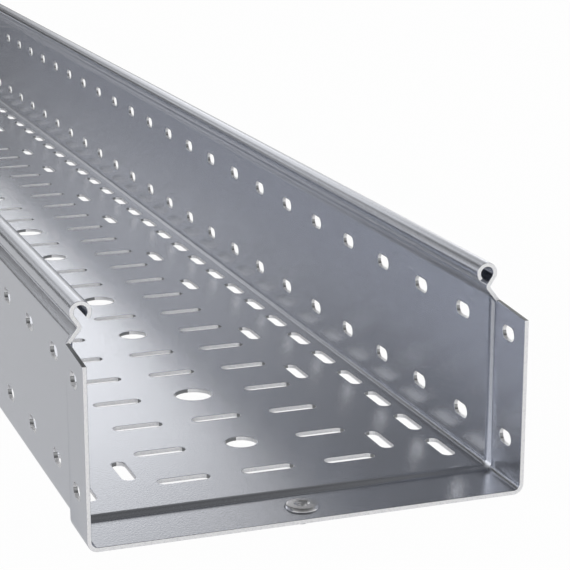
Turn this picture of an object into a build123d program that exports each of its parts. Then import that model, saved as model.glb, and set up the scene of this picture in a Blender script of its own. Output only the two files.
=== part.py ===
from build123d import *
import os
from math import cos, radians, sin, tan

# Perforated cable tray, one length of roll-formed sheet with a stepped socket end.
# X runs across the tray, Y along it from the socket end to the plain end, Z up.
# The origin is under the middle of the tray, at the level of the screw's tip.

# Driving dimensions of the tray, in millimetres
sheet = 2.0
tray_width = 205.0
laying_length = 2000.0
floor_bend = 3.0

# Rolled bead along the top of each wall: a neck leans in, a crook turns back, an open ring ends it
bead_diameter = 10.2
bead_top = 100.7
neck_lean = 50.0
neck_bend = 2.5
crook_bend = 1.7
rise_lean = 55.0
rise_length = 4.0
bead_free_end = 222.0

# Socket end, stepped out by one sheet and a fitting gap
socket_length = 33.5
fit_gap = 0.1
step_run = 3.8
bead_overhang = 4.0
socket_wall_back = 82.2
socket_wall_front = 80.0

# Perforation of the floor
floor_pitch = 40.0
first_row = 28.6
floor_slot_length = 26.0
floor_slot_width = 7.0
cross_column = 42.0
edge_column = 90.0
inner_column = 66.0
small_hole = 16.0
large_hole = 20.0
rows_in_period = 5
small_hole_row = 1
large_hole_row = 3
inner_slot_rows = (0, 3)
floor_end_margin = 30.0

# Perforation of the walls
wall_pitch = 50.0
first_wall_slot = 28.2
wall_slot_length = 15.0
wall_slot_width = 7.0
lower_wall_row = 18.5
upper_wall_row = 69.5
wall_end_margin = 20.0
socket_slot_length = 12.0
socket_slot_back = 17.0

# Fixing screw in the socket's floor, and the slot of the plain end that it takes
screw_diameter = 6.0
screw_length = 8.0
screw_hole = 7.0
screw_back = 18.0
head_diameter = 16.5
head_height = 3.4
head_rim = 1.2
hex_across_flats = 5.0
hex_depth = 2.2
tip_chamfer = 0.8
screw_slot_length = 14.0

# Derived levels and stations
step = sheet + fit_gap
socket_floor_top = screw_length
floor_top = socket_floor_top + step
total_length = laying_length + socket_length
front_y = -total_length / 2
step_y = front_y + socket_length
plain_y = total_length / 2
full_step_y = step_y - step_run
bead_end_y = step_y - bead_overhang
screw_y = step_y - screw_back


def section_plane(y):
    """Plane across the tray at station y, with X to the right and Z up."""
    return Plane(origin=(0, y, 0), x_dir=(1, 0, 0), z_dir=(0, -1, 0))


def around(centre, radius, degrees):
    """Point at an angle round a centre."""
    angle = radians(degrees)
    return (centre[0] + radius * cos(angle), centre[1] + radius * sin(angle))


# Middle line of the bead, which stays in place where the wall below it steps out
mid_bend = floor_bend + sheet / 2
ring_radius = (bead_diameter - sheet) / 2
ring_centre = (tray_width / 2 - bead_diameter / 2, floor_top + bead_top - bead_diameter / 2)
rise_end = around(ring_centre, ring_radius, rise_lean - 90)
rise_start = around(rise_end, rise_length, rise_lean + 180)
crook_centre = around(rise_start, crook_bend, rise_lean - 90)
neck_end = around(crook_centre, crook_bend, 270 - neck_lean)


def sheet_line(out):
    """Middle line of half the section, with floor and wall stepped out by a distance."""
    wall_x = tray_width / 2 - sheet / 2 + out
    floor_z = floor_top - sheet / 2 - out
    foot_z = neck_end[1] - (wall_x - neck_end[0]) * tan(radians(neck_lean))
    floor_to_neck = FilletPolyline(
        (0, floor_z), (wall_x, floor_z), (wall_x, foot_z), neck_end, radius=[mid_bend, neck_bend]
    )
    crook = CenterArc(crook_centre, crook_bend, 270 - neck_lean, rise_lean + neck_lean - 180)
    rise = Line(rise_start, rise_end)
    ring = CenterArc(ring_centre, ring_radius, rise_lean - 90, bead_free_end - rise_lean + 90)
    return floor_to_neck, crook, rise, ring


def socket_line():
    """Middle line of half the socket's section, which has no bead."""
    wall_x = tray_width / 2 - sheet / 2 + step
    floor_z = socket_floor_top - sheet / 2
    return FilletPolyline(
        (0, floor_z), (wall_x, floor_z), (wall_x, floor_top + socket_wall_back), radius=mid_bend
    )


def slots(places, length, width, turn):
    """Round-ended slots at the given places of the current sketch."""
    with Locations(*places):
        SlotOverall(length, width, rotation=turn)


# Places of the floor's perforations
last_floor_y = plain_y - floor_end_margin
row_count = int((last_floor_y - step_y - first_row) // floor_pitch) + 1
rows = [(n % rows_in_period, step_y + first_row + n * floor_pitch) for n in range(row_count)]
cross_slots = [(side * cross_column, y) for kind, y in rows for side in (-1, 1)]
cross_slots += [(0, y) for kind, y in rows if kind not in (small_hole_row, large_hole_row)]
edge_slots = [(side * edge_column, y) for kind, y in rows for side in (-1, 1)]
inner_slots = [
    (side * inner_column, y + floor_pitch / 2)
    for kind, y in rows
    for side in (-1, 1)
    if kind in inner_slot_rows and y + floor_pitch / 2 <= last_floor_y
]
small_holes = [(0, y) for kind, y in rows if kind == small_hole_row]
large_holes = [(0, y) for kind, y in rows if kind == large_hole_row]

# Places of the walls' perforations, as (along, up)
last_wall_y = plain_y - wall_end_margin
wall_count = int((last_wall_y - step_y - first_wall_slot) // wall_pitch) + 1
wall_levels = (floor_top + lower_wall_row, floor_top + upper_wall_row)
wall_slots = [
    (step_y + first_wall_slot + n * wall_pitch, z) for n in range(wall_count) for z in wall_levels
]
socket_slots = [(step_y - socket_slot_back, z) for z in wall_levels]

# Cable tray: one sheet from the socket's mouth to the plain end
with BuildPart() as cable_tray:
    with BuildSketch(section_plane(step_y)) as main_section:
        with BuildLine():
            sheet_line(0)
        trace(line_width=sheet)
        mirror(about=Plane.YZ)
    extrude(amount=-laying_length)
    with BuildSketch(section_plane(full_step_y)) as stepped_section:
        with BuildLine():
            sheet_line(step)
        trace(line_width=sheet)
        mirror(about=Plane.YZ)
    extrude(amount=bead_overhang - step_run)
    loft(sections=[stepped_section.sketch, main_section.sketch], ruled=True)
    with BuildSketch(section_plane(bead_end_y)):
        with BuildLine():
            socket_line()
        trace(line_width=sheet)
        mirror(about=Plane.YZ)
    extrude(amount=socket_length - bead_overhang)
    # The top edge of the socket's walls falls towards the mouth
    with BuildSketch(Plane.YZ):
        with BuildLine():
            Polyline(
                (bead_end_y, floor_top + socket_wall_back),
                (front_y, floor_top + socket_wall_front),
                (front_y, floor_top + socket_wall_back),
                close=True,
            )
        make_face()
    extrude(amount=tray_width, both=True, mode=Mode.SUBTRACT)
    # Floor perforation
    with BuildSketch(Plane.XY.offset(floor_top - sheet / 2)):
        slots(cross_slots, floor_slot_length, floor_slot_width, 0)
        slots(edge_slots + inner_slots, floor_slot_length, floor_slot_width, 90)
        slots([(0, plain_y - screw_back)], screw_slot_length, screw_hole, 90)
        with Locations(*small_holes):
            Circle(small_hole / 2)
        with Locations(*large_holes):
            Circle(large_hole / 2)
    extrude(amount=sheet, both=True, mode=Mode.SUBTRACT)
    with BuildSketch(Plane.XY.offset(socket_floor_top - sheet / 2)):
        with Locations((0, screw_y)):
            Circle(screw_hole / 2)
    extrude(amount=sheet, both=True, mode=Mode.SUBTRACT)
    # Wall perforation, through both walls at once
    with BuildSketch(Plane.YZ):
        slots(wall_slots, wall_slot_length, wall_slot_width, 0)
        slots(socket_slots, socket_slot_length, wall_slot_width, 0)
    extrude(amount=tray_width, both=True, mode=Mode.SUBTRACT)
cable_tray.part.label = "cable_tray"

# Fixing screw: low saucer head with a hexagon socket, seated on the socket's floor
dome_height = head_height - head_rim
dome_radius = ((head_diameter / 2) ** 2 + dome_height**2) / (2 * dome_height)
with BuildPart() as fixing_screw:
    with BuildSketch(section_plane(screw_y)):
        with BuildLine():
            Polyline(
                (0, socket_floor_top + head_height),
                (0, 0),
                (screw_diameter / 2 - tip_chamfer, 0),
                (screw_diameter / 2, tip_chamfer),
                (screw_diameter / 2, socket_floor_top),
                (head_diameter / 2, socket_floor_top),
                (head_diameter / 2, socket_floor_top + head_rim),
            )
            RadiusArc(
                (head_diameter / 2, socket_floor_top + head_rim),
                (0, socket_floor_top + head_height),
                -dome_radius,
            )
        make_face()
    revolve(axis=Axis((0, screw_y, 0), (0, 0, 1)))
    with BuildSketch(Plane((0, screw_y, socket_floor_top + head_height))):
        RegularPolygon(hex_across_flats / 2, 6, major_radius=False)
    extrude(amount=-hex_depth, mode=Mode.SUBTRACT)
fixing_screw.part.label = "fixing_screw"

os.makedirs("parts", exist_ok=True)
export_step(cable_tray.part, "parts/cable_tray.step")
export_step(fixing_screw.part, "parts/fixing_screw.step")
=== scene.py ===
from math import cos, pi, radians, sin, tan

import bmesh
import bpy
from mathutils import Matrix, Vector


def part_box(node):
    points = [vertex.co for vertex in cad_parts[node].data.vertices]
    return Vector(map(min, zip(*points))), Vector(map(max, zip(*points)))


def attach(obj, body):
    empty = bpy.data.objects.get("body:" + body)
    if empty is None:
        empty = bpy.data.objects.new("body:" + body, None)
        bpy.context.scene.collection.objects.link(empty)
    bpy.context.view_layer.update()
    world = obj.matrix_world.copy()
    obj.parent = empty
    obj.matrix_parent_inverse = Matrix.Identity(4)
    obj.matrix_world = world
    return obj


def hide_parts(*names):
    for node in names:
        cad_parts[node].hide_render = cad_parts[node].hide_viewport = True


# The perforated cable tray in front of a white ground: bright galvanised sheet with punched slots,
# rolled beads and a stepped socket end. Metres, in the part's own frame: X across, Y along, Z up.

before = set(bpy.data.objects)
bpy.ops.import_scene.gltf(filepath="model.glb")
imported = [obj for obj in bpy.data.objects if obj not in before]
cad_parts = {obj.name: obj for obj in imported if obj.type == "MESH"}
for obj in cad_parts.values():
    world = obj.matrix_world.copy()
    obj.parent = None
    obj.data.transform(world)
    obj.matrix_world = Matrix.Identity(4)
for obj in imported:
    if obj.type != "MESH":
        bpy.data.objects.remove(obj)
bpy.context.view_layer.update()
tray_low, tray_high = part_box("cable_tray")
screw_low, screw_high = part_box("fixing_screw")

# Sheet and section, with the bends' radii on the inside
sheet = 0.0020
tray_width = 0.2050
bead_height = 0.1007
bead_diameter = 0.0102
socket_length = 0.0335
step_run = 0.0038
step_bend = 0.0020
step_lean = 43.7
step_stations = 18
bead_overhang = 0.0040
socket_wall_back = 0.0822
socket_wall_front = 0.0800
floor_bend = 0.0030
neck_bend = 0.0025
neck_lean = 50.0
crook_bend = 0.0017
rise_lean = 55.0
rise_length = 0.0040
bead_free_end = 222.0

# Share of plain white in the studio floor, over its own shaded colour, for the eye and for the metal
white_for_eye = 0.98
white_for_metal = 0.4

# Surroundings, as levels of white: a belt of light round the ground under a dim top
top_level = 0.07
belt_level = 1.5
belt_lean = 0.3
belt_azimuth = 285.0
belt_height = 0.55
dimmest = 0.02

# Places in the surroundings that are lighter, or darker where the level is below 0, each as
# (degrees round from the tray's length, degrees up, tightness, level)
dim_ahead = (-4.0, 10.0, 12.0, -3.0)
left_panel = (-16.0, 13.0, 150.0, 1.4)
high_panel = (-1.0, 20.0, 40.0, 2.5)
middle_panel = (14.0, 15.0, 150.0, 1.4)
right_panel = (35.0, 16.0, 150.0, 3.2)

# What the frame gives
half_width = tray_width / 2
floor_top = tray_high.z - bead_height
step = tray_high.x - half_width
front_y = tray_low.y
plain_y = tray_high.y
step_y = front_y + socket_length
full_step_y = step_y - step_run
bead_end_y = step_y - bead_overhang

# Edges of the sheet: punching rolls one side of a hole over, shearing leaves a small break
roll_over = 0.00013
edge_break = 0.00015

# Part of each round end given a dark patch of painted shade, for the dark reflection of the hole's shaded
# side there, from one side of the end to the other
painted_shade_from = 0.50
painted_shade_to = 0.80

# Segments of the bends, from floor to wall and up the bead, and of the ends of the holes
corner_segments = 10
neck_segments = 5
crook_segments = 8
ring_segments = 40
slot_end_segments = 8
screw_hole_segments = 12
round_hole_segments = 16

# Points down a hole's edge: upper ledge, rolled rim, sheared side, lower ledge
edge_points = 7

# Gaps within which points are welded, in one hole's edge, in one sheet and over the whole shell
edge_weld = 1e-6
sheet_weld = 2e-6
shell_weld = 4e-6
ledge = 0.0005

# Slots of the floor and walls
slot_width = 0.0070
floor_slot = 0.0260
wall_slot = 0.0150
socket_slot = 0.0120
screw_slot = 0.0140
floor_pitch = 0.0400
wall_pitch = 0.0500
rows_in_period = 5
first_row = step_y + 0.0286
first_wall_slot = step_y + 0.0282
cross_column = 0.0420
edge_column = 0.0900
inner_column = 0.0660
lower_wall_row = 0.0185
upper_wall_row = 0.0695
small_hole = 0.0160
large_hole = 0.0200
screw_hole = 0.0070
screw_back = 0.0180
socket_slot_back = 0.0170
floor_end_margin = 0.0300
wall_end_margin = 0.0200
floor_rows = int((plain_y - floor_end_margin - first_row) / floor_pitch) + 1
wall_columns = int((plain_y - wall_end_margin - first_wall_slot) / wall_pitch) + 1

# Height over the floor to which the socket's walls are punched sheet, under their sloping tops
socket_panel_height = 0.0785

# Fixing screw
head_height = 0.0016
head_rim = 0.00146
rim_slope = 0.0010
rim_round = 0.00015
head_break = 0.0001
shank_radius = 0.0030
thread_pitch = 0.0010
thread_depth = 0.00055
tip_chamfer = 0.0008
across_flats = 0.0050
recess_depth = 0.0010
recess_mouth = 0.0035
recess_dish = 0.0004
recess_point = 0.0006
screw_sides = 72
head_rings = 8
thread_rings = 64

# Camera, worked out from the rows of slots in the photograph: where it stands from the middle of the
# step at the floor's level, and which way it looks
camera_across = -0.2875
camera_before_step = 0.7873
camera_over_floor = 0.3218
camera_azimuth = 19.955
camera_elevation = -14.954
camera_roll = -0.035
camera_lens = 121.281
sensor_width = 36.0
studio_reach = 12.0


class Value:
    """A node socket that takes part in Python sums. Each sum adds its Math node to the tree."""

    def __init__(self, nodes, socket):
        self.nodes, self.socket = nodes, socket

    def maths(self, operation, *values):
        return self.nodes.add("ShaderNodeMath", {"operation": operation}, dict(enumerate(values)))

    def __add__(self, other):
        return self.maths("ADD", self, other)

    def __sub__(self, other):
        return self.maths("SUBTRACT", self, other)

    def __rsub__(self, other):
        return self.maths("SUBTRACT", other, self)

    def __mul__(self, other):
        return self.maths("MULTIPLY", self, other)

    def __truediv__(self, other):
        return self.maths("DIVIDE", self, other)

    def __mod__(self, other):
        return self.maths("FLOORED_MODULO", self, other)

    def __gt__(self, other):
        return self.maths("GREATER_THAN", self, other)

    def __lt__(self, other):
        return self.maths("LESS_THAN", self, other)

    __radd__ = __add__
    __rmul__ = __mul__

    def floor(self):
        return self.maths("FLOOR", self)

    def sine(self):
        return self.maths("SINE", self)

    def cosine(self):
        return self.maths("COSINE", self)

    def exponent(self):
        return self.maths("EXPONENT", self)

    def between(self, low, high):
        """This value's place between two others, from 0 to 1."""
        limits = {"Value": self, "From Min": low, "From Max": high}
        return self.nodes.add("ShaderNodeMapRange", {"clamp": True}, limits)


class Nodes:
    """The nodes of one shader or geometry tree."""

    def __init__(self, tree):
        self.tree = tree

    def add(self, kind, settings=None, values=None, output=0):
        """Adds a node, sets it up, fills its sockets by name or number and gives one output back."""
        node = self.tree.nodes.new(kind)
        for name, setting in (settings or {}).items():
            setattr(node, name, setting)
        for key, value in (values or {}).items():
            self.fill(node.inputs[key], value)
        return Value(self, node.outputs[output])

    def fill(self, socket, value):
        """Links a socket, or writes its constant."""
        if isinstance(value, Value):
            self.tree.links.new(value.socket, socket)
        elif isinstance(value, (list, tuple)) and value and isinstance(value[0], Value):
            for one in value:
                self.tree.links.new(one.socket, socket)
        else:
            socket.default_value = value


def geometry_tree(name, inputs):
    """A geometry tree with named inputs, as (tree, nodes, the inputs' values)."""
    tree = bpy.data.node_groups.new(name, "GeometryNodeTree")
    tree.interface.new_socket("Geometry", in_out="OUTPUT", socket_type="NodeSocketGeometry")
    tree.interface.new_socket("Geometry", in_out="INPUT", socket_type="NodeSocketGeometry")
    for label, kind in inputs:
        tree.interface.new_socket(label, in_out="INPUT", socket_type="NodeSocket" + kind)
    nodes = Nodes(tree)
    group = tree.nodes.new("NodeGroupInput")
    return tree, nodes, {s.name: Value(nodes, s) for s in group.outputs if s.name}


def finish_tree(nodes, shape, finish):
    """Ends a geometry tree: instances made real, the finish put on, and the result given out."""
    real = nodes.add("GeometryNodeRealizeInstances", None, {"Geometry": shape})
    done = nodes.add("GeometryNodeSetMaterial", None, {"Geometry": real, **finish})
    group = nodes.tree.nodes.new("NodeGroupOutput")
    nodes.tree.links.new(done.socket, group.inputs[0])


def punched_row_tree():
    """A row of like holes: the edge of each, with its ledges, rolled rim, sheared side and a dark patch of
    painted shade on each round end.
    """
    tree, nodes, given = geometry_tree("punched_row", [
        ("Across", "Float"), ("First", "Float"), ("Pitch", "Float"), ("Count", "Int"),
        ("Length", "Float"), ("Width", "Float"), ("Turn", "Float"), ("Steps", "Int"),
        ("Sheet", "Float"), ("Roll Over", "Float"), ("Ledge", "Float"),
        ("Sheared Side", "Material"), ("Painted Shade Part", "Material"),
    ])
    steps, rim, around_one_end = given["Steps"], given["Roll Over"], given["Steps"] + 1
    grid = nodes.add("GeometryNodeMeshGrid", None, {
        "Vertices X": around_one_end * 2 + 1, "Vertices Y": edge_points,
    })
    index = nodes.add("GeometryNodeInputIndex")
    around = (index / edge_points).floor() % (around_one_end * 2)
    along = index % edge_points
    end = (around / around_one_end).floor()
    angle = ((around % around_one_end) / steps + end - 0.5) * pi
    roll = ((along - 1) / 3).between(0, 1) * (pi / 2)
    out = rim * (1 - roll.sine()) + given["Ledge"] * (along < 0.5)
    out = out + (rim + given["Ledge"]) * (along > edge_points - 1.5)
    down = rim * (roll.cosine() - 1) + (rim - given["Sheet"]) * (along > 4.5)
    radius = given["Width"] / 2 + out
    run = (given["Length"] - given["Width"]) / 2
    place = nodes.add("ShaderNodeCombineXYZ", None, {
        "X": angle.cosine() * radius + run * (1 - end * 2), "Y": angle.sine() * radius, "Z": down,
    })
    edge = nodes.add("GeometryNodeSetPosition", None, {"Geometry": grid, "Position": place})
    faces_down = edge_points - 1
    sheared = ((index % faces_down) > 3.5) * ((index % faces_down) < 4.5)
    part_of_end = (((index / faces_down).floor() % around_one_end) + 0.5) / steps
    # Painted shade: the faces of each round end's sheared side that get the dark patch
    rubbed = sheared * (part_of_end > painted_shade_from) * (part_of_end < painted_shade_to)
    for name, chosen in (("sheared", sheared), ("rubbed", rubbed)):
        edge = nodes.add("GeometryNodeStoreNamedAttribute", {"data_type": "BOOLEAN", "domain": "FACE"}, {
            "Geometry": edge, "Name": name, "Value": chosen,
        })
    edge = nodes.add("GeometryNodeMergeByDistance", None, {"Geometry": edge, "Distance": edge_weld})
    cut = nodes.add("GeometryNodeInputNamedAttribute", {"data_type": "BOOLEAN"}, {"Name": "sheared"})
    edge = nodes.add("GeometryNodeSetMaterial", None, {
        "Geometry": edge, "Selection": cut, "Material": given["Sheared Side"],
    })
    start = nodes.add("ShaderNodeCombineXYZ", None, {"X": given["Across"], "Y": given["First"]})
    stride = nodes.add("ShaderNodeCombineXYZ", None, {"Y": given["Pitch"]})
    row = nodes.add("GeometryNodeMeshLine", {"mode": "OFFSET"}, {
        "Count": given["Count"], "Start Location": start, "Offset": stride,
    })
    turn = nodes.add("ShaderNodeCombineXYZ", None, {"Z": given["Turn"]})
    turn = nodes.add("FunctionNodeEulerToRotation", None, {"Euler": turn})
    holes = nodes.add("GeometryNodeInstanceOnPoints", None, {
        "Points": row, "Instance": edge, "Rotation": turn,
    })
    holes = nodes.add("GeometryNodeJoinGeometry", None, {"Geometry": [given["Geometry"], holes]})
    # The faces marked for painted shade get their dark finish
    rubbed = nodes.add("GeometryNodeInputNamedAttribute", {"data_type": "BOOLEAN"}, {"Name": "rubbed"})
    finish_tree(nodes, holes, {"Selection": rubbed, "Material": given["Painted Shade Part"]})
    return tree


def punched_sheet_tree():
    """A flat sheet, both faces, that runs from its outline to the ledge of each hole in it."""
    tree, nodes, given = geometry_tree("punched_sheet", [
        ("Low Across", "Float"), ("High Across", "Float"), ("Low Along", "Float"),
        ("High Along", "Float"), ("Sheet", "Float"), ("Face", "Material"),
    ])
    corners = [
        nodes.add("ShaderNodeCombineXYZ", None, {"X": given[across], "Y": given[along]})
        for across, along in (
            ("Low Across", "Low Along"), ("High Across", "Low Along"),
            ("High Across", "High Along"), ("Low Across", "High Along"),
        )
    ]
    outline = nodes.add("GeometryNodeCurvePrimitiveQuadrilateral", {"mode": "POINTS"}, {
        f"Point {n + 1}": corner for n, corner in enumerate(corners)
    })
    faces_met = nodes.add("GeometryNodeInputMeshEdgeNeighbors")
    position = nodes.add("GeometryNodeInputPosition")
    height = nodes.add("ShaderNodeSeparateXYZ", None, {"Vector": position}, "Z")
    rim = (faces_met < 1.5) * (height > given["Sheet"] * -0.5)
    rims = nodes.add("GeometryNodeMeshToCurve", None, {"Mesh": given["Geometry"], "Selection": rim})
    lines = nodes.add("GeometryNodeJoinGeometry", None, {"Geometry": [outline, rims]})
    face = nodes.add("GeometryNodeFillCurve", None, {"Curve": lines})
    lowered = nodes.add("ShaderNodeCombineXYZ", None, {"Z": given["Sheet"] * -1})
    back = nodes.add("GeometryNodeTransform", None, {"Geometry": face, "Translation": lowered})
    back = nodes.add("GeometryNodeFlipFaces", None, {"Mesh": back})
    both = nodes.add("GeometryNodeJoinGeometry", None, {"Geometry": [given["Geometry"], face, back]})
    both = nodes.add("GeometryNodeMergeByDistance", None, {"Geometry": both, "Distance": sheet_weld})
    cut = nodes.add("GeometryNodeInputNamedAttribute", {"data_type": "BOOLEAN"}, {"Name": "sheared"})
    uncut = nodes.add("FunctionNodeBooleanMath", {"operation": "NOT"}, {0: cut})
    finish_tree(nodes, both, {"Selection": uncut, "Material": given["Face"]})
    return tree


def set_inputs(modifier, values):
    """Sets a modifier's named inputs through their sockets' identifiers."""
    for item in modifier.node_group.interface.items_tree:
        if item.in_out == "INPUT" and item.name in values:
            modifier[item.identifier] = values[item.name]


def hole_row(across, first, length, width=slot_width, pitch=0.0, count=1, turn=0.0,
             steps=slot_end_segments):
    """The inputs of one row of like holes."""
    return {
        "Across": across, "First": first, "Length": length, "Width": width, "Pitch": pitch,
        "Count": count, "Turn": turn, "Steps": steps,
    }


def punched_sheet(trees, finishes, rows, low, high):
    """A flat sheet with its holes as a plain mesh, upper face at height 0."""
    row_tree, sheet_tree = trees
    blank = bpy.data.objects.new("blank", bpy.data.meshes.new("blank"))
    bpy.context.scene.collection.objects.link(blank)
    for row in rows:
        modifier = blank.modifiers.new("holes", "NODES")
        modifier.node_group = row_tree
        set_inputs(modifier, {
            **row, "Sheet": sheet, "Roll Over": roll_over, "Ledge": ledge,
            "Sheared Side": finishes["sheared"], "Painted Shade Part": finishes["painted_shade_patch"],
        })
    modifier = blank.modifiers.new("sheet", "NODES")
    modifier.node_group = sheet_tree
    set_inputs(modifier, {
        "Low Across": low[0], "Low Along": low[1], "High Across": high[0], "High Along": high[1],
        "Sheet": sheet, "Face": finishes["sheet"],
    })
    graph = bpy.context.evaluated_depsgraph_get()
    mesh = bpy.data.meshes.new_from_object(blank.evaluated_get(graph))
    bpy.data.objects.remove(blank)
    return mesh


def bend(centre, radius, start, turn, count):
    """Section points round a bend, each with its outward direction and half the sheet's thickness."""
    side = 1 if turn > 0 else -1
    angles = [radians(start + turn * n / count) for n in range(count + 1)]
    return [
        (centre[0] + radius * cos(a), centre[1] + radius * sin(a), side * cos(a), side * sin(a), sheet / 2)
        for a in angles
    ]


def around(centre, radius, angle):
    """Point at an angle round a centre."""
    return (centre[0] + radius * cos(radians(angle)), centre[1] + radius * sin(radians(angle)))


# Middle line of the right-hand bead and neck
mid_bend = floor_bend + sheet / 2
ring_radius = (bead_diameter - sheet) / 2
ring_centre = (half_width - bead_diameter / 2, tray_high.z - bead_diameter / 2)
rise_end = around(ring_centre, ring_radius, rise_lean - 90)
rise_start = around(rise_end, rise_length, rise_lean + 180)
crook_centre = around(rise_start, crook_bend, rise_lean - 90)
neck_end = around(crook_centre, crook_bend, 270 - neck_lean)
neck_reach = neck_bend * tan(radians(neck_lean / 2))


def corner(out):
    """Right-hand bend between floor and wall, with both stepped out by a distance."""
    wall_x, floor_z = half_width - sheet / 2 + out, floor_top - sheet / 2 - out
    centre = (wall_x - mid_bend, floor_z + mid_bend)
    start = (centre[0] - ledge, floor_z, 0.0, -1.0, sheet / 2)
    end = (wall_x, centre[1] + ledge, 1.0, 0.0, sheet / 2)
    return [start, *bend(centre, mid_bend, -90, 90, corner_segments), end]


def neck_foot(out):
    """Height at which the wall starts to lean into the neck."""
    wall_x = half_width - sheet / 2 + out
    return neck_end[1] - (wall_x - neck_end[0]) * tan(radians(neck_lean)) - neck_reach


def beaded_half(out, half=sheet / 2, end_half=sheet / 2):
    """Right half of the section with its bead. The bead's sheet may be thinned, for a broken edge."""
    wall_x, foot = half_width - sheet / 2 + out, neck_foot(out)
    bead = [
        (wall_x, foot - ledge, 1.0, 0.0, half),
        *bend((wall_x - neck_bend, foot), neck_bend, 0, neck_lean, neck_segments),
        *bend(crook_centre, crook_bend, 270 - neck_lean, rise_lean + neck_lean - 180, crook_segments),
        *bend(ring_centre, ring_radius, rise_lean - 90, bead_free_end - rise_lean + 90, ring_segments),
    ]
    return [(*point[:4], half) for point in corner(out)] + [
        (*point[:4], min(point[4], end_half)) for point in bead]


def socket_half(y, half):
    """Right half of the socket's section, whose wall top falls towards the mouth."""
    wall_x = half_width - sheet / 2 + step
    fall = (bead_end_y - y) / (bead_end_y - front_y)
    top = floor_top + socket_wall_back + (socket_wall_front - socket_wall_back) * fall
    panel_top = floor_top + socket_panel_height
    wall = [(wall_x, panel_top, 1.0, 0.0, half), (wall_x, top - edge_break, 1.0, 0.0, half)]
    lip = (wall_x, top, 1.0, 0.0, min(half, sheet / 2 - edge_break))
    return [(*point[:4], half) for point in corner(step)] + wall + [lip]


def step_depth(run, first_bend):
    """How far a face of the sheet has stepped out after a run, through a first and a second bend."""
    second_bend = 2 * step_bend - first_bend
    lean = radians(step_lean)
    first_run, left = first_bend * sin(lean), step_run - run
    if run < first_run:
        return first_bend - (first_bend**2 - run**2) ** 0.5
    if left < second_bend * sin(lean):
        return step - second_bend + (second_bend**2 - left**2) ** 0.5
    first_depth = first_bend * (1 - cos(lean))
    last_depth = step - second_bend * (1 - cos(lean))
    part = (run - first_run) / (step_run - first_run - second_bend * sin(lean))
    return first_depth + (last_depth - first_depth) * part


def whole(half):
    """Both halves of a section, from the left end to the right end."""
    return [(-x, z, -nx, nz, h) for x, z, nx, nz, h in reversed(half)] + half


def faces_of(y, section):
    """The outer and inner points of a section at a station along the tray."""
    outer = [Vector((x + nx * h, y, z + nz * h)) for x, z, nx, nz, h in section]
    inner = [Vector((x - nx * h, y, z - nz * h)) for x, z, nx, nz, h in section]
    return outer, inner


def skin(shell, stations, skip=(), cut_start=None, cut_end=None, free_edge="sheared"):
    """Skins the sheet between stations, and closes its free edges and its sheared ends."""
    rings = [faces_of(y, section) for y, section in stations]
    spans = range(len(stations[0][1]) - 1)
    for (outer_a, inner_a), (outer_b, inner_b) in zip(rings, rings[1:]):
        for i in spans:
            if i not in skip:
                shell.append(((outer_a[i], outer_b[i], outer_b[i + 1], outer_a[i + 1]), "sheet"))
                shell.append(((inner_a[i], inner_a[i + 1], inner_b[i + 1], inner_b[i]), "sheet"))
        shell.append(((inner_a[-1], outer_a[-1], outer_b[-1], inner_b[-1]), free_edge))
        shell.append(((inner_a[0], inner_b[0], outer_b[0], outer_a[0]), free_edge))
    for i in cut_start or ():
        outer, inner = rings[0]
        shell.append(((inner[i], outer[i], outer[i + 1], inner[i + 1]), "sheared"))
    for i in cut_end or ():
        outer, inner = rings[-1]
        shell.append(((inner[i], inner[i + 1], outer[i + 1], outer[i]), "sheared"))


def formed_shell():
    """The formed strips of the tray: bends, beads, socket, step and the sheared ends."""
    shell = []
    half = sheet / 2
    beaded = whole(beaded_half(0))
    last = len(beaded) - 1
    corner_points = len(corner(0))
    floor_span = len(beaded) // 2 - 1
    right_wall = floor_span + corner_points
    left_wall = last - 1 - right_wall
    flats = (left_wall, floor_span, right_wall)

    # Main length, whose three flats are punched sheets, and its plain end
    everywhere = range(last)
    thin_end = [(*point[:4], half - edge_break) for point in beaded]
    skin(shell, [(step_y + ledge, beaded), (plain_y - ledge, beaded)], skip=flats)
    skin(shell, [
        (plain_y - ledge, beaded), (plain_y - edge_break, beaded), (plain_y, thin_end),
    ], cut_end=everywhere)

    # Step, an S between the two levels whose convex face has the wider bend, and the beaded part before it
    stations = []
    for n in range(step_stations + 1):
        run = step_run * (1 - n / step_stations)
        inner, outer = step_depth(run, step_bend + half), step_depth(run, step_bend - half)
        section = beaded_half((inner + outer) / 2, half + (outer - inner) / 2)
        stations.append((step_y - run, whole(section)))
    stepped = whole(beaded_half(step))
    stepped_end = whole(beaded_half(step, end_half=half - edge_break))
    bead_spans = [i for i in everywhere if i > right_wall or i < left_wall]
    skin(shell, [
        (bead_end_y, stepped_end), (bead_end_y + edge_break, stepped),
        *stations, (step_y + ledge, beaded),
    ], cut_start=bead_spans)

    # Socket, whose floor and walls are punched sheets
    def mouth(y, thickness=half):
        return y, whole(socket_half(y, thickness))

    size = len(mouth(front_y)[1])
    socket_floor = size // 2 - 1
    socket_wall = socket_floor + corner_points
    socket_flats = (socket_floor, socket_wall, size - 2 - socket_wall)
    skin(shell, [
        mouth(front_y, half - edge_break), mouth(front_y + edge_break), mouth(front_y + ledge),
    # The socket's free edges, its sloping wall tops, get the dark finish of painted shade
    ], cut_start=range(size - 1), free_edge="painted_shade_top")
    skin(shell, [mouth(front_y + ledge), mouth(bead_end_y)], skip=socket_flats, free_edge="painted_shade_top")
    return shell


def mesh_piece(name, finishes):
    """An empty piece with its finishes in fixed slots, in the order of the finishes."""
    mesh = bpy.data.meshes.new(name)
    for finish in finishes.values():
        mesh.materials.append(finish)
    piece = bpy.data.objects.new(name, mesh)
    bpy.context.scene.collection.objects.link(piece)
    return piece


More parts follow.
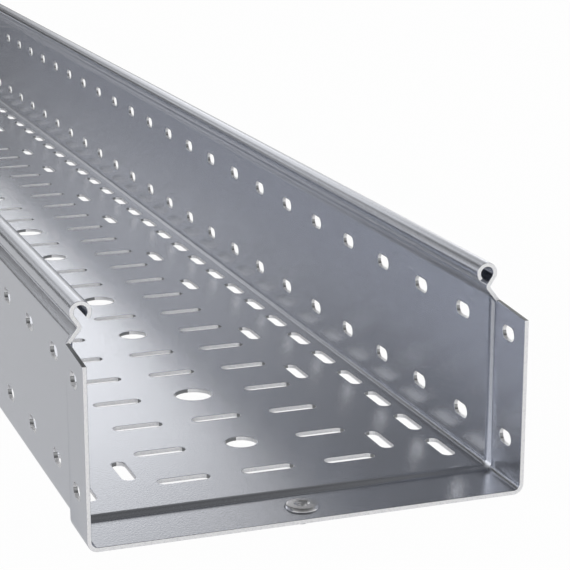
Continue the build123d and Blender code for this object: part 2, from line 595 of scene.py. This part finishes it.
def add_mesh(work, mesh, finishes, place, mirrored=False):
    """Adds a punched sheet to the work at its place, or its mirror image in the tray's middle plane."""
    part = bmesh.new()
    part.from_mesh(mesh)
    order = list(finishes.values())
    for face in part.faces:
        face.material_index = order.index(mesh.materials[face.material_index])
    part.transform(place)
    if mirrored:
        part.transform(Matrix.Diagonal((-1.0, 1.0, 1.0, 1.0)))
        bmesh.ops.reverse_faces(part, faces=part.faces)
    placed = bpy.data.meshes.new("placed")
    part.to_mesh(placed)
    part.free()
    work.from_mesh(placed)
    bpy.data.meshes.remove(placed)


def cable_tray(finishes):
    """The tray as one shell: punched flats, formed strips and sheared ends, welded along their seams."""
    trees = (punched_row_tree(), punched_sheet_tree())
    along, quarter = radians(90), floor_pitch / 2
    period = rows_in_period * floor_pitch

    def every_fifth(row, **shape):
        first = first_row + row * floor_pitch
        count = (floor_rows - 1 - row) // rows_in_period + 1
        return {"first": first, "pitch": period, "count": count, **shape}

    floor_holes = [
        hole_row(side * cross_column, first_row, floor_slot, pitch=floor_pitch, count=floor_rows)
        for side in (-1, 1)
    ] + [
        hole_row(side * edge_column, first_row, floor_slot, pitch=floor_pitch, count=floor_rows, turn=along)
        for side in (-1, 1)
    ] + [
        hole_row(0.0, **every_fifth(row, length=floor_slot)) for row in (0, 2, 4)
    ] + [
        hole_row(0.0, **every_fifth(
            row, length=across, width=across, steps=round_hole_segments, turn=along))
        for row, across in ((1, small_hole), (3, large_hole))
    ] + [
        hole_row(0.0, plain_y - screw_back, screw_slot, turn=along),
    ]
    for row in (0, 3):
        inner = every_fifth(row, length=floor_slot, turn=along)
        inner["first"] += quarter
        for side in (-1, 1):
            floor_holes.append(hole_row(side * inner_column, **inner))
    wall_holes = [
        hole_row(level, first_wall_slot, wall_slot, pitch=wall_pitch, count=wall_columns, turn=along)
        for level in (lower_wall_row, upper_wall_row)
    ]
    socket_holes = [
        hole_row(level, step_y - socket_slot_back, socket_slot, turn=along)
        for level in (lower_wall_row, upper_wall_row)
    ]
    screw_holes = [
        hole_row(0.0, step_y - screw_back, screw_hole, width=screw_hole, steps=screw_hole_segments),
    ]

    flat_x = half_width - sheet / 2 - mid_bend - ledge
    wall_low = mid_bend - sheet / 2 + ledge
    floor_panel = punched_sheet(
        trees, finishes, floor_holes, (-flat_x, step_y + ledge), (flat_x, plain_y - ledge))
    wall_panel = punched_sheet(
        trees, finishes, wall_holes, (wall_low, step_y + ledge),
        (neck_foot(0) - ledge - floor_top, plain_y - ledge))
    socket_floor = punched_sheet(
        trees, finishes, screw_holes, (-flat_x - step, front_y + ledge), (flat_x + step, bead_end_y))
    socket_wall = punched_sheet(
        trees, finishes, socket_holes, (wall_low - step, front_y + ledge),
        (socket_panel_height, bead_end_y))

    work = bmesh.new()
    for corners, finish in formed_shell():
        face = work.faces.new([work.verts.new(point) for point in corners])
        face.material_index = list(finishes).index(finish)
    upright = Matrix(((0, 0, -1, 0), (0, 1, 0, 0), (1, 0, 0, 0), (0, 0, 0, 1)))
    on_floor = Matrix.Translation((0, 0, floor_top))
    on_wall = Matrix.Translation((half_width - sheet, 0, floor_top)) @ upright
    lowered = Matrix.Translation((0, 0, -step))
    widened = Matrix.Translation((step, 0, 0))
    add_mesh(work, floor_panel, finishes, on_floor)
    add_mesh(work, socket_floor, finishes, lowered @ on_floor)
    for mirrored in (False, True):
        add_mesh(work, wall_panel, finishes, on_wall, mirrored)
        add_mesh(work, socket_wall, finishes, widened @ on_wall, mirrored)
    bmesh.ops.remove_doubles(work, verts=work.verts, dist=shell_weld)
    tray = mesh_piece("tray_shell", finishes)
    work.to_mesh(tray.data)
    work.free()
    tray.data.shade_smooth()
    tray.data.set_sharp_from_angle(angle=radians(35))
    return tray


def screw_piece(finish):
    """The fixing screw: flat saucer head with a hexagon socket, and a threaded shank under it."""
    centre_y = (screw_low.y + screw_high.y) / 2
    head_radius = (screw_high.x - screw_low.x) / 2
    seat = floor_top - step
    top_radius = head_radius - rim_slope
    dome = head_height - head_rim
    dome_radius = (top_radius**2 + dome**2) / (2 * dome)

    def dome_top(radius):
        return seat + head_height - dome_radius + (dome_radius**2 - radius**2) ** 0.5

    def round_ring(radius, height):
        return [(radius * cos(a), radius * sin(a), height) for a in angles]

    def hexagon_ring(height, scale=1.0):
        ring = []
        for a in angles:
            off_flat = (a + pi / 6) % (pi / 3) - pi / 6
            radius = scale * across_flats / 2 / cos(off_flat)
            ring.append((radius * cos(a), radius * sin(a), height))
        return ring

    angles = [2 * pi * n / screw_sides for n in range(screw_sides)]
    mouth_top = dome_top(recess_mouth)
    recess_floor = seat + head_height - recess_depth
    rings = [
        hexagon_ring(recess_floor - recess_point, 0.02), hexagon_ring(recess_floor),
        hexagon_ring(recess_floor + head_break), hexagon_ring(mouth_top - recess_dish),
        round_ring(recess_mouth, mouth_top),
    ]
    for n in range(1, head_rings + 1):
        radius = recess_mouth + (top_radius - rim_round - recess_mouth) * n / head_rings
        rings.append(round_ring(radius, dome_top(radius)))
    rings += [
        round_ring(top_radius, dome_top(top_radius) - rim_round / 2),
        round_ring(head_radius - 0.3 * head_break, seat + 2 * head_break),
        round_ring(head_radius, seat + head_break), round_ring(head_radius - head_break, seat),
        round_ring(shank_radius, seat),
    ]
    for n in range(1, thread_rings + 1):
        height = seat * (1 - n / thread_rings)
        ring = []
        for a in angles:
            turn = (height / thread_pitch - a / (2 * pi)) % 1
            depth = thread_depth * min(1, abs(turn - 0.5) * 2.6)
            radius = min(shank_radius - depth, shank_radius - tip_chamfer + height)
            ring.append((radius * cos(a), radius * sin(a), height))
        rings.append(ring)
    rings.append(round_ring(0.00005, 0.0))

    work = bmesh.new()
    levels = [[work.verts.new((x, y + centre_y, z)) for x, y, z in ring] for ring in rings]
    for upper, lower in zip(levels, levels[1:]):
        for n in range(screw_sides):
            m = (n + 1) % screw_sides
            work.faces.new((upper[n], lower[n], lower[m], upper[m]))
    work.faces.new(levels[0])
    work.faces.new(reversed(levels[-1]))
    screw = bpy.data.objects.new("saucer_head_screw", bpy.data.meshes.new("saucer_head_screw"))
    bpy.context.scene.collection.objects.link(screw)
    work.to_mesh(screw.data)
    work.free()
    screw.data.materials.append(finish)
    screw.data.shade_smooth()
    screw.data.set_sharp_from_angle(angle=radians(32))
    return screw


def new_finish(name):
    """A material, its nodes and its principled shader."""
    material = bpy.data.materials.new(name)
    material.use_nodes = True
    nodes = Nodes(material.node_tree)
    shader = material.node_tree.nodes["Principled BSDF"]
    return material, nodes, shader


def shading(nodes, shader, values):
    """Fills the principled shader's sockets by name."""
    for name, value in values.items():
        nodes.fill(shader.inputs[name], value)


def galvanised_sheet():
    """Bright zinc over rolled sheet: smooth, with faint speckle, smears and rolling lines along it."""
    material, nodes, shader = new_finish("galvanised_sheet")
    place = nodes.add("ShaderNodeTexCoord", None, None, "Object")
    speckle = nodes.add("ShaderNodeTexNoise", None, {"Vector": place, "Scale": 900.0, "Detail": 2.0}, "Fac")
    smear = nodes.add("ShaderNodeTexNoise", None, {"Vector": place, "Scale": 14.0, "Detail": 3.0}, "Fac")
    drawn = nodes.add("ShaderNodeMapping", None, {"Vector": place, "Scale": (4000.0, 100.0, 4000.0)})
    lines = nodes.add("ShaderNodeTexNoise", None, {"Vector": drawn, "Scale": 1.0, "Detail": 2.0}, "Fac")
    tone = 0.595 + (speckle - 0.5) * 0.04 + (smear - 0.5) * 0.03
    colour = nodes.add("ShaderNodeCombineColor", None, {
        "Red": tone * 0.97, "Green": tone, "Blue": tone * 1.085,
    })
    rough = 0.18 + (speckle - 0.5) * 0.04 + (smear - 0.5) * 0.05
    bump = nodes.add("ShaderNodeBump", None, {
        "Strength": 1.0, "Distance": 0.00004, "Height": lines + speckle,
    })
    shading(nodes, shader, {"Base Color": colour, "Roughness": rough, "Normal": bump, "Metallic": 1.0})
    return material


def sheared_edge():
    """The sheared sides of holes and ends: bright torn metal, coarser than the face."""
    material, nodes, shader = new_finish("sheared_edge")
    place = nodes.add("ShaderNodeTexCoord", None, None, "Object")
    grain = nodes.add("ShaderNodeTexNoise", None, {"Vector": place, "Scale": 1400.0, "Detail": 2.0}, "Fac")
    tone = 0.97 + (grain - 0.5) * 0.5
    colour = nodes.add("ShaderNodeCombineColor", None, {"Red": tone, "Green": tone, "Blue": tone * 1.02})
    bump = nodes.add("ShaderNodeBump", None, {"Strength": 0.25, "Distance": 0.0002, "Height": grain})
    shading(nodes, shader, {"Base Color": colour, "Roughness": 0.5, "Normal": bump, "Metallic": 1.0})
    return material


def painted_shade_finish():
    """Painted shade on part of each round end: a dark, smooth finish that stands in for the dark reflection
    there.
    """
    material, nodes, shader = new_finish("painted_shade_finish")
    # Dark colour of painted shade, for the dark reflection in the holes' round ends
    shading(nodes, shader, {"Base Color": (0.30, 0.305, 0.31, 1.0), "Roughness": 0.3, "Metallic": 1.0})
    return material


def painted_shade_top_edge():
    """The sloping top edge of the socket's walls, painted dark: painted shade for the dim top of the
    surroundings that these edges face.
    """
    material, nodes, shader = new_finish("painted_shade_top_edge")
    # Dark colour of painted shade on the socket's wall tops
    shading(nodes, shader, {"Base Color": (0.16, 0.165, 0.17, 1.0), "Roughness": 0.4, "Metallic": 1.0})
    return material


def zinc_plate():
    """Bright zinc plating of the screw."""
    material, nodes, shader = new_finish("zinc_plate")
    place = nodes.add("ShaderNodeTexCoord", None, None, "Object")
    cloud = nodes.add("ShaderNodeTexNoise", None, {"Vector": place, "Scale": 500.0, "Detail": 3.0}, "Fac")
    tone = 0.64 + (cloud - 0.5) * 0.2
    colour = nodes.add("ShaderNodeCombineColor", None, {"Red": tone, "Green": tone, "Blue": tone * 1.02})
    bump = nodes.add("ShaderNodeBump", None, {"Strength": 0.08, "Distance": 0.0002, "Height": cloud})
    shading(nodes, shader, {
        "Base Color": colour, "Roughness": 0.18 + (cloud - 0.5) * 0.1, "Normal": bump, "Metallic": 1.0,
    })
    return material


def white_floor():
    """Matt floor that the eye sees as white and the metal as pale, with a soft trace of the shadow."""
    material, nodes, shader = new_finish("white_floor")
    shading(nodes, shader, {
        "Base Color": (0.9, 0.9, 0.9, 1.0), "Roughness": 1.0, "Specular IOR Level": 0.0,
    })
    eye, metal, glass = [
        nodes.add("ShaderNodeLightPath", None, None, f"Is {kind} Ray")
        for kind in ("Camera", "Glossy", "Transmission")
    ]
    share = (eye + glass) * white_for_eye + metal * white_for_metal
    white = nodes.add("ShaderNodeEmission", None, {"Color": (1.0, 1.0, 1.0, 1.0), "Strength": 1.0})
    plain = Value(nodes, shader.outputs[0])
    seen = nodes.add("ShaderNodeMixShader", None, {0: share, 1: plain, 2: white})
    material.node_tree.links.new(seen.socket, material.node_tree.nodes["Material Output"].inputs["Surface"])
    return material


def camera():
    """Camera at the photograph's place."""
    azimuth, elevation, roll = radians(camera_azimuth), radians(camera_elevation), radians(camera_roll)
    ahead = Vector((sin(azimuth) * cos(elevation), cos(azimuth) * cos(elevation), sin(elevation)))
    level = Vector((cos(azimuth), -sin(azimuth), 0.0))
    up = level.cross(ahead)
    right = cos(roll) * level + sin(roll) * up
    up = cos(roll) * up - sin(roll) * level
    data = bpy.data.cameras.new("camera")
    data.sensor_width = sensor_width
    data.lens = camera_lens
    data.clip_start, data.clip_end = 0.05, 100.0
    made = bpy.data.objects.new("camera", data)
    place = Vector((camera_across, step_y - camera_before_step, floor_top + camera_over_floor))
    turn = Matrix((right, up, -ahead)).transposed().to_4x4()
    made.matrix_world = Matrix.Translation(place) @ turn
    bpy.context.scene.collection.objects.link(made)
    bpy.context.scene.camera = made


def surroundings():
    """World light: the graded belt under its dim top, with the soft panels in it."""
    world = bpy.data.worlds.new("surroundings")
    world.use_nodes = True
    nodes = Nodes(world.node_tree)
    ray = nodes.add("ShaderNodeTexCoord", None, None, "Generated")

    def towards(azimuth, elevation):
        turn, rise = radians(azimuth), radians(elevation)
        way = (sin(turn) * cos(rise), cos(turn) * cos(rise), sin(rise))
        return nodes.add("ShaderNodeVectorMath", {"operation": "DOT_PRODUCT"}, {0: ray, 1: way}, "Value")

    height = towards(0, 90) / belt_height
    belt = (height * height * -1).exponent()
    level = top_level + (belt_level + belt_lean * towards(belt_azimuth, 0)) * belt
    panels = (dim_ahead, left_panel, high_panel, middle_panel, right_panel)
    for azimuth, elevation, tightness, strength in panels:
        level = level + ((towards(azimuth, elevation) - 1) * tightness).exponent() * strength
    light = world.node_tree.nodes["Background"]
    nodes.fill(light.inputs["Strength"], level.maths("MAXIMUM", level, dimmest))
    nodes.fill(light.inputs["Color"], (1.0, 1.0, 1.0, 1.0))
    bpy.context.scene.world = world


def studio():
    """Plain white floor under the graded surroundings."""
    mesh = bpy.data.meshes.new("studio_floor")
    corners = [(x * studio_reach, y * studio_reach, 0) for x, y in ((-1, -1), (1, -1), (1, 1), (-1, 1))]
    mesh.from_pydata(corners, [], [(0, 1, 2, 3)])
    mesh.materials.append(white_floor())
    floor = bpy.data.objects.new("studio_floor", mesh)
    bpy.context.scene.collection.objects.link(floor)
    surroundings()


# The tray's finishes, in the order of its material slots
finishes = {
    "sheet": galvanised_sheet(), "sheared": sheared_edge(),
    # The two dark finishes are painted shade: on the holes' round ends and on the socket's sloping wall
    # tops
    "painted_shade_patch": painted_shade_finish(), "painted_shade_top": painted_shade_top_edge(),
}
tray = cable_tray(finishes)
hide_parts("cable_tray")
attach(tray, "root")
screw = screw_piece(zinc_plate())
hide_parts("fixing_screw")
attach(screw, "root")

camera()
studio()
bpy.context.scene.view_settings.view_transform = "Standard"
